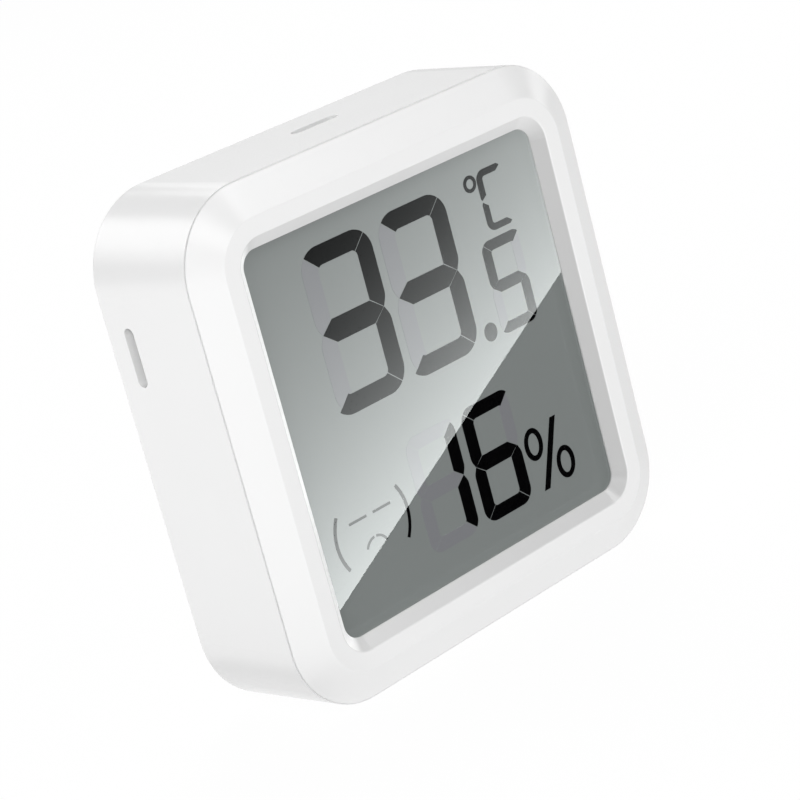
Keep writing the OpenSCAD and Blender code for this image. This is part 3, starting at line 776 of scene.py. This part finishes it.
@dataclass
class SegmentDisplay(SubAssembly):
    """The liquid-crystal display: a temperature, a humidity, their units and a comfort sign."""

    FINISHES: ClassVar[dict[str, Finish]] = {
        "display_window": WINDOW, "window_tape": TAPE, "front_polariser": FILM,
        "front_glass": GLASS, "rear_glass": GLASS, "reflector": REFLECTOR,
        "display_holder": HOLDER, "contact_strip": STRIP,
    }
    LETTER: ClassVar[tuple[Outline, ...]] = (
        (
            (9.97, 13.4, 0.3), (10.5, 13.9, 0.3), (12.5, 13.9, 0), (12.77, 13.7, 0),
            (12.25, 13.34, 0), (10.75, 13.34, 0.15), (10.61, 13.15, 0.1), (10.61, 11.8, 0),
            (10.08, 11.45, 0), (9.97, 11.6, 0),
        ),
        (
            (9.97, 9.25, 0.3), (9.97, 11.05, 0), (10.08, 11.28, 0), (10.61, 10.9, 0),
            (10.61, 9.5, 0.1), (10.75, 9.32, 0.15), (12.25, 9.32, 0), (12.77, 8.95, 0),
            (12.5, 8.76, 0), (10.45, 8.76, 0.3),
        ),
    )
    SLASH: ClassVar[Outline] = (
        (11.35, -8.0, 0), (12.01, -8.0, 0), (9.51, -13.6, 0), (8.85, -13.6, 0),
    )

    temperature: tuple[str, str] = ("33", "5")
    humidity: str = "16"
    digit_step: float = 8.43
    big: Digit = Digit(-10.07, -2.47, 0.34, 13.93, 1.67, 1.56, 1.88, 1.92, 0.06, 0.0, 0.52)
    small: Digit = Digit(8.63, 13.0, 0.33, 8.21, 0.96, 0.88, 0.99, 0.9, 0.04, 0.28, 0.14)
    units: Digit = Digit(1.79, 7.39, -13.68, -3.71, 1.24, 1.16, 1.31, 1.2, 0.05, 0.33, 0.0)
    tens_step: float = -6.45
    share_of_gap: float = 0.4
    idle_share: float = 0.6
    point_at: Point = (7.39, 1.1, 0)
    point_radii: Flat = (0.71, 0.78)
    degree_at: Point = (9.15, 13.18, 0)
    degree_radii: Flat = (0.71, 0.71)
    degree_stroke: float = 0.3
    percent_at: tuple[Point, Point] = ((8.87, -9.42, 0), (11.97, -12.19, 0))
    percent_radii: Flat = (1.06, 1.42)
    percent_stroke: float = 0.46
    brackets: tuple[tuple[Point, float], ...] = (((-9.61, -8.85, 0), 148), ((-10.2, -8.85, 0), -32))
    bracket_radius: float = 4.22
    bracket_stroke: float = 0.29
    bracket_sweep: float = 64
    eyes: tuple[Flat, Flat] = ((-12.12, -10.22), (-9.49, -7.56))
    eye_height: Flat = (-7.77, -7.57)
    mouth_at: Point = (-9.89, -10.73, 0)
    mouth_radius: float = 1.17
    mouth_stroke: float = 0.2
    mouth_starts: Flat = (96, 24)
    mouth_sweep: float = 60

    def sheet(self, name: str, finish: Finish, share: float = 1.0) -> Sheet:
        """Starts a drawing on the front film.

        Args:
            name: Name of the piece.
            finish: What the drawing is made of.
            share: Thickness against that of the driven segments.

        Returns:
            The empty drawing.
        """
        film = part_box("front_polariser")[0].y
        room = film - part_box("display_window")[1].y
        thickness = share * room * self.share_of_gap / MM
        return Sheet(name, finish, "sensor_body", Facing.FRONT, film, thickness, "polariser")

    def digits(self) -> list[tuple[str, Digit]]:
        """Places each shown figure.

        Returns:
            Each figure with its segments.
        """
        whole, tenth = self.temperature
        places = [(figure, self.big.moved(k * self.digit_step)) for k, figure in enumerate(whole)]
        places.append((tenth, self.small))
        for k, figure in enumerate(reversed(self.humidity)):
            places.append((figure, self.units.moved(k * self.tens_step)))
        return places

    def build(self) -> None:
        """Draws the lit segments, the idle ones, the units and the comfort sign."""
        lit = self.sheet("driven_segments", DRIVEN)
        idle = self.sheet("idle_segments", IDLE, self.idle_share)
        for figure, digit in self.digits():
            for letter, outline in digit.segments().items():
                (lit if letter in Digit.LIT[figure] else idle).plate(outline)
        lit.ring(self.point_at, self.point_radii, 0)
        lit.finish_piece()
        idle.finish_piece()
        self.unit_signs()
        self.comfort_sign()

    def unit_signs(self) -> None:
        """Draws the degree sign with its letter, and the per cent sign."""
        degree = self.sheet("degree_sign", DRIVEN)
        degree.ring(self.degree_at, self.degree_radii, self.degree_stroke)
        for outline in self.LETTER:
            degree.plate(outline)
        degree.finish_piece()
        percent = self.sheet("per_cent_sign", DRIVEN)
        for centre in self.percent_at:
            percent.ring(centre, self.percent_radii, self.percent_stroke)
        percent.plate(self.SLASH)
        percent.finish_piece()

    def comfort_sign(self) -> None:
        """Draws two brackets, two level strokes and a downturned bow in two halves."""
        sign = self.sheet("comfort_sign", DRIVEN)
        for centre, start in self.brackets:
            sign.bow(centre, self.bracket_radius, self.bracket_stroke, start, self.bracket_sweep)
        low, high = self.eye_height
        for left, right in self.eyes:
            sign.plate([(left, high, 0), (right, high, 0), (right, low, 0), (left, low, 0)])
        for start in self.mouth_starts:
            sign.bow(self.mouth_at, self.mouth_radius, self.mouth_stroke, start, self.mouth_sweep)
        sign.finish_piece()


@dataclass
class Casing(SubAssembly):
    """The white shells, with small printed marks that show how the battery door turns."""

    FINISHES: ClassVar[dict[str, Finish]] = {
        "front_bezel": BEZEL, "main_housing": SHELL, "back_cover": SHELL, "battery_door": SHELL,
        "pairing_button": SHELL,
    }

    pointer_r: float = 11.2
    pointer_round: float = 0.1
    mark_r: float = 14.1
    mark_size: float = 0.55
    stroke: float = 0.22
    thickness: float = 0.02

    def build(self) -> None:
        """Prints a pointer on the door, and the closed and open marks beside it."""
        door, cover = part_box("battery_door")[1].y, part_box("back_cover")[1].y
        tip, half, back = self.pointer_r + self.mark_size, self.mark_size, self.pointer_round
        pointer = Sheet("door_pointer", INK, "door", Facing.BACK, door, self.thickness, "shell")
        pointer.plate([(-half, tip - 2 * half, back), (half, tip - 2 * half, back), (0, tip, back)])
        pointer.finish_piece()
        joint = next(j for j in frame["joints"] if j["name"] == "door_twist")
        turn = math.radians(joint["range_deg"][1])
        open_at = (-self.mark_r * math.sin(turn), self.mark_r * math.cos(turn), 0)
        marks = Sheet("door_marks", INK, "sensor_body", Facing.BACK, cover, self.thickness, "shell")
        marks.ring((0, self.mark_r, 0), (half, half), 0)
        marks.ring(open_at, (half, half), self.stroke)
        marks.finish_piece()


@dataclass
class Circuit(SubAssembly):
    """The board with its parts and the cell's contacts."""

    FINISHES: ClassVar[dict[str, Finish]] = {
        "main_board": BOARD, "controller_chip": RESIN, "driver_chip": RESIN, "sensor_chip": RESIN,
        "crystal": LID, "capacitors": TAN_CERAMIC, "resistors": BLACK_CERAMIC,
        "negative_contact": SPRING, "positive_contact": SPRING,
    }


@dataclass
class CoinCell(SubAssembly):
    """The cell that feeds the circuit."""

    FINISHES: ClassVar[dict[str, Finish]] = {
        "cell_can": CELL, "cell_cap": CELL, "cell_ring": SEAL, "cell_core": PELLET,
    }


@dataclass
class PairingSwitch(SubAssembly):
    """The switch behind the pairing button."""

    FINISHES: ClassVar[dict[str, Finish]] = {
        "switch_base": NYLON, "switch_plunger": NYLON, "switch_plate": STAMPED,
    }


@dataclass(frozen=True)
class SoftBox:
    """One soft lamp of the studio, in millimetres and watts.

    Its bearing is 0 before the display and 90 to its right, in degrees.
    """

    name: str
    bearing: float
    height: float
    size: Flat
    watts: float
    distance: float = 700.0
    aim: Point = (0.0, 0.0, 21.5)

    def build(self) -> None:
        """Hangs the lamp."""
        turn, lift = math.radians(self.bearing), math.radians(self.height)
        level = math.cos(lift)
        ray = Vector((level * math.sin(turn), -level * math.cos(turn), math.sin(lift)))
        data = bpy.data.lights.new(self.name, "AREA")
        data.shape = "RECTANGLE"
        data.size, data.size_y = self.size[0] * MM, self.size[1] * MM
        data.energy = self.watts
        lamp = bpy.data.objects.new(self.name, data)
        bpy.context.scene.collection.objects.link(lamp)
        lamp.visible_camera = False
        lamp.location = (Vector(self.aim) + ray * self.distance) * MM
        lamp.rotation_euler = (-ray).to_track_quat("-Z", "Y").to_euler()


@dataclass(frozen=True)
class MirrorCard:
    """A gridded light panel whose lower edge crosses the mirror image in a glossy sheet.

    The panel stands square to the mirrored line of sight. Its edge and its fall-off are given where
    they show on the window's face, in millimetres from the window's middle. Its light is brightest
    at the peak's distance from the edge, which may lie below it, and fades on both sides.
    """

    name: str
    mirror: str
    seers: tuple[str, ...]
    bright: float
    peak: float
    spread: float
    tint: str = "#FAFFFE"
    edge_left: Flat = (-26.72, -18.93)
    edge_right: Flat = (26.72, 8.72)
    fade_turn: float = -6.5
    reach: float = 34.0
    distance: float = 16.0
    grid_from: float = 0.03
    grid_full: float = 0.12

    NO_SHADE: ClassVar[tuple[str, ...]] = ("front_bezel", "window_tape")

    def build(self, eye: Point) -> None:
        """Makes the panel and lets only its own sheets see it.

        Args:
            eye: The camera's place, in millimetres.
        """
        panel = make_object(self.name, self.outline(eye), self.material())
        panel.visible_camera = panel.visible_diffuse = panel.visible_shadow = False
        panel.visible_transmission = panel.visible_volume_scatter = False
        seers = bpy.data.collections.new("mirrors_" + self.name)
        for seer in self.seers:
            seers.objects.link(bpy.data.objects[seer])
        panel.light_linking.receiver_collection = seers
        panel.light_linking.blocker_collection = all_but("shades_" + self.name, self.NO_SHADE)

    def outline(self, eye: Point) -> bmesh.types.BMesh:
        """Follows the mirrored lines of sight to the panel's corners.

        Args:
            eye: The camera's place, in millimetres.

        Returns:
            The panel's one face, with the distance from its edge as the second UV.
        """
        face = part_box("display_window")[0].y / MM
        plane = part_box(self.mirror)[0].y / MM
        middle = (CAD_BOX[0].z + CAD_BOX[1].z) / 2 / MM
        seen, mirrored = Vector(eye), Vector((eye[0], 2 * plane - eye[1], eye[2]))
        centre = Vector((0, plane, middle))
        sight = (centre - mirrored).normalized()
        stand = (centre + sight * self.distance - mirrored).dot(sight)
        left, right = Vector((*self.edge_left, 0)), Vector((*self.edge_right, 0))
        along = (right - left).normalized()
        rise = Vector((-along.y, along.x, 0))
        fade = Matrix.Rotation(math.radians(self.fade_turn), 3, "Z") @ rise
        corners = [left, right, right + rise * self.reach, left + rise * self.reach]
        shape = bmesh.new()
        verts = []
        for flat in corners:
            spot = Vector((flat.x, face, middle + flat.y))
            spot = seen + (spot - seen) * ((plane - seen.y) / (face - seen.y))
            ray = spot - mirrored
            verts.append(shape.verts.new((mirrored + ray * (stand / ray.dot(sight))) * MM))
        sheet = shape.faces.new(verts)
        rows = shape.loops.layers.uv.new("rise")
        for loop, flat in zip(sheet.loops, corners):
            loop[rows].uv = (0.0, (flat - (left + right) / 2).dot(fade) / self.reach)
        return shape

    def material(self) -> bpy.types.Material:
        """Makes light that fades away from its brightest line and leaves nearly straight ahead.

        Returns:
            The material.
        """
        made = bpy.data.materials.new(self.name)
        tree = empty_tree(made)
        rise = add(tree, "SeparateXYZ", {0: add(tree, "TexCoord").outputs["UV"]}).outputs["Y"]
        steep, start = self.reach / self.spread, -self.peak / self.spread
        off = reckon(tree, "MULTIPLY_ADD", rise, steep, start)
        fall = reckon(tree, "POWER", 1 / math.e, reckon(tree, "MULTIPLY", off, off))
        grid = add(tree, "MapRange", {
            "Value": add(tree, "LayerWeight").outputs["Facing"], "From Min": self.grid_from,
            "From Max": self.grid_full, "To Min": 1.0, "To Max": 0.0,
        })
        shape = reckon(tree, "MULTIPLY", fall, grid.outputs[0])
        light = add(tree, "Emission", {
            "Color": linear(self.tint), "Strength": reckon(tree, "MULTIPLY", shape, self.bright),
        })
        clear = add(tree, "BsdfTransparent")
        both = add(tree, "AddShader", {0: light.outputs[0], 1: clear.outputs[0]})
        add(tree, "OutputMaterial", {"Surface": both.outputs[0]})
        return made


@dataclass(frozen=True)
class FloorFlag:
    """A soft rectangle on the floor, in millimetres, that holds back the floor's light."""

    middle: Flat
    half: Flat
    fade: float
    share: float

    def level(self, tree: Tree, spot: Node) -> Socket:
        """Works out how much light is left.

        Args:
            tree: The floor's node tree.
            spot: The node that splits the place on the floor.

        Returns:
            The share of the floor's light, up to one.
        """
        off = []
        for axis, middle, half in zip("XY", self.middle, self.half):
            away = reckon(tree, "SUBTRACT", spot.outputs[axis], middle * MM)
            off.append(reckon(tree, "SUBTRACT", reckon(tree, "ABSOLUTE", away), half * MM))
        left = add(tree, "MapRange", {
            "Value": reckon(tree, "MAXIMUM", *off), "From Max": self.fade * MM,
            "To Min": self.share,
        })
        return left.outputs[0]


@dataclass
class Studio:
    """Pale floor, soft light, the camera and the cards that the display mirrors."""

    eye: Point = (-134.97, -161.35, 78.61)
    right: Point = (0.69588, -0.67317, -0.25002)
    up: Point = (0.36701, 0.03418, 0.92958)
    lens: float = 120.81
    sensor: float = 36.0
    clip: Flat = (0.01, 10.0)
    floor_half: float = 1.5
    floor_tone: str = "#303030"
    glow: float = 0.96
    seen_glow: float = 0.97
    sky: float = 0.005
    seen_sky: float = 1.05

    FLAGS: ClassVar[tuple[FloorFlag, ...]] = (
        FloorFlag((-24.2, -1.0), (0.9, 13.0), 2.4, 0.5),
        FloorFlag((-20.9, -9.0), (0.8, 0.3), 2.2, 0.0),
    )
    GLOSSY_FRONT: ClassVar[tuple[str, ...]] = ("display_window", "front_polariser", "idle_segments")
    CARDS: ClassVar[tuple[MirrorCard, ...]] = (
        MirrorCard("window_card", "display_window", ("display_window",), 21.1, -19.5, 20.3),
        MirrorCard(
            "film_card", "front_polariser", ("front_polariser", "idle_segments"), 2.94, 8.5, 17.7,
        ),
    )
    LAMPS: ClassVar[tuple[SoftBox, ...]] = (
        SoftBox("key_box", -60.0, 35.0, (340.0, 340.0), 2.23),
        SoftBox("front_left_box", -40.0, 30.0, (340.0, 340.0), 0.74),
        SoftBox("front_box", 0.0, 25.0, (190.0, 190.0), 0.39),
        SoftBox("low_left_box", -60.0, 8.0, (190.0, 190.0), 0.2),
        SoftBox("right_box", 40.0, 25.0, (190.0, 190.0), 0.27),
        SoftBox("high_right_box", 40.0, 42.0, (190.0, 190.0), 0.51),
        SoftBox("low_right_box", 80.0, 8.0, (190.0, 190.0), 0.27),
        SoftBox("top_box", 120.0, 60.0, (340.0, 340.0), 1.74),
        SoftBox("high_back_box", 140.0, 45.0, (340.0, 340.0), 0.86),
        SoftBox("back_right_box", 140.0, 25.0, (190.0, 190.0), 0.14),
        SoftBox("low_back_box", 140.0, 8.0, (190.0, 190.0), 0.06),
        SoftBox("back_left_box", 200.0, 33.0, (300.0, 240.0), 0.68),
        SoftBox("corner_box", 220.0, 25.0, (190.0, 190.0), 0.23),
    )

    def build(self) -> None:
        """Sets up the whole studio."""
        self.camera()
        self.floor()
        self.world()
        for lamp in self.LAMPS:
            lamp.build()
        for card in self.CARDS:
            card.build(self.eye)
        scene = bpy.context.scene
        scene.view_settings.view_transform = "Standard"
        scene.view_settings.look = "None"

    def camera(self) -> None:
        """Puts the camera where the photograph was taken from."""
        data = bpy.data.cameras.new("camera")
        data.lens, data.sensor_width = self.lens, self.sensor
        data.clip_start, data.clip_end = self.clip
        camera = bpy.data.objects.new("camera", data)
        bpy.context.scene.collection.objects.link(camera)
        right, up = Vector(self.right).normalized(), Vector(self.up)
        back = right.cross(up).normalized()
        axes = Matrix((right, back.cross(right), back)).transposed().to_4x4()
        camera.matrix_world = Matrix.Translation(Vector(self.eye) * MM) @ axes
        bpy.context.scene.camera = camera

    def floor(self) -> None:
        """Lays a pale floor that glows, with soft flags that shade the lower left corner."""
        paper = bpy.data.materials.new("white_paper")
        tree = empty_tree(paper)
        dull = add(tree, "BsdfDiffuse", {"Color": linear(self.floor_tone)})
        spot = add(tree, "SeparateXYZ", {0: add(tree, "TexCoord").outputs["Object"]})
        lit = self.glow
        for flag in self.FLAGS:
            lit = reckon(tree, "MULTIPLY", flag.level(tree, spot), lit)
        direct = add(tree, "LightPath").outputs["Is Camera Ray"]
        level = add(tree, "MapRange", {"Value": direct, "To Min": lit, "To Max": self.seen_glow})
        glow = add(tree, "Emission", {"Color": linear(WHITE), "Strength": level.outputs[0]})
        both = add(tree, "AddShader", {0: dull.outputs[0], 1: glow.outputs[0]})
        add(tree, "OutputMaterial", {"Surface": both.outputs[0]})
        shape = bmesh.new()
        bmesh.ops.create_grid(shape, x_segments=1, y_segments=1, size=self.floor_half)
        floor = make_object("floor", shape, paper)
        floor.light_linking.receiver_collection = all_but("lit_by_floor", self.GLOSSY_FRONT)

    def world(self) -> None:
        """Fills the room with even white light, and shows it white behind the object."""
        room = bpy.data.worlds.new("room")
        bpy.context.scene.world = room
        tree = empty_tree(room)
        seen = add(tree, "Background", {"Color": linear(WHITE), "Strength": self.seen_sky})
        lit = add(tree, "Background", {"Color": linear(WHITE), "Strength": self.sky})
        direct = add(tree, "LightPath").outputs["Is Camera Ray"]
        mix = add(tree, "MixShader", {0: direct, 1: lit.outputs[0], 2: seen.outputs[0]})
        add(tree, "OutputWorld", {"Surface": mix.outputs[0]})


def main() -> None:
    """Dresses the sub-assemblies, adds the marks on both faces and sets up the studio."""
    logging.basicConfig(level=logging.INFO, format="%(message)s")
    display, casing = SegmentDisplay(), Casing()
    for assembly in (casing, display, Circuit(), CoinCell(), PairingSwitch()):
        assembly.dress()
    display.build()
    casing.build()
    Studio().build()


if __name__ == "__main__":
    main()
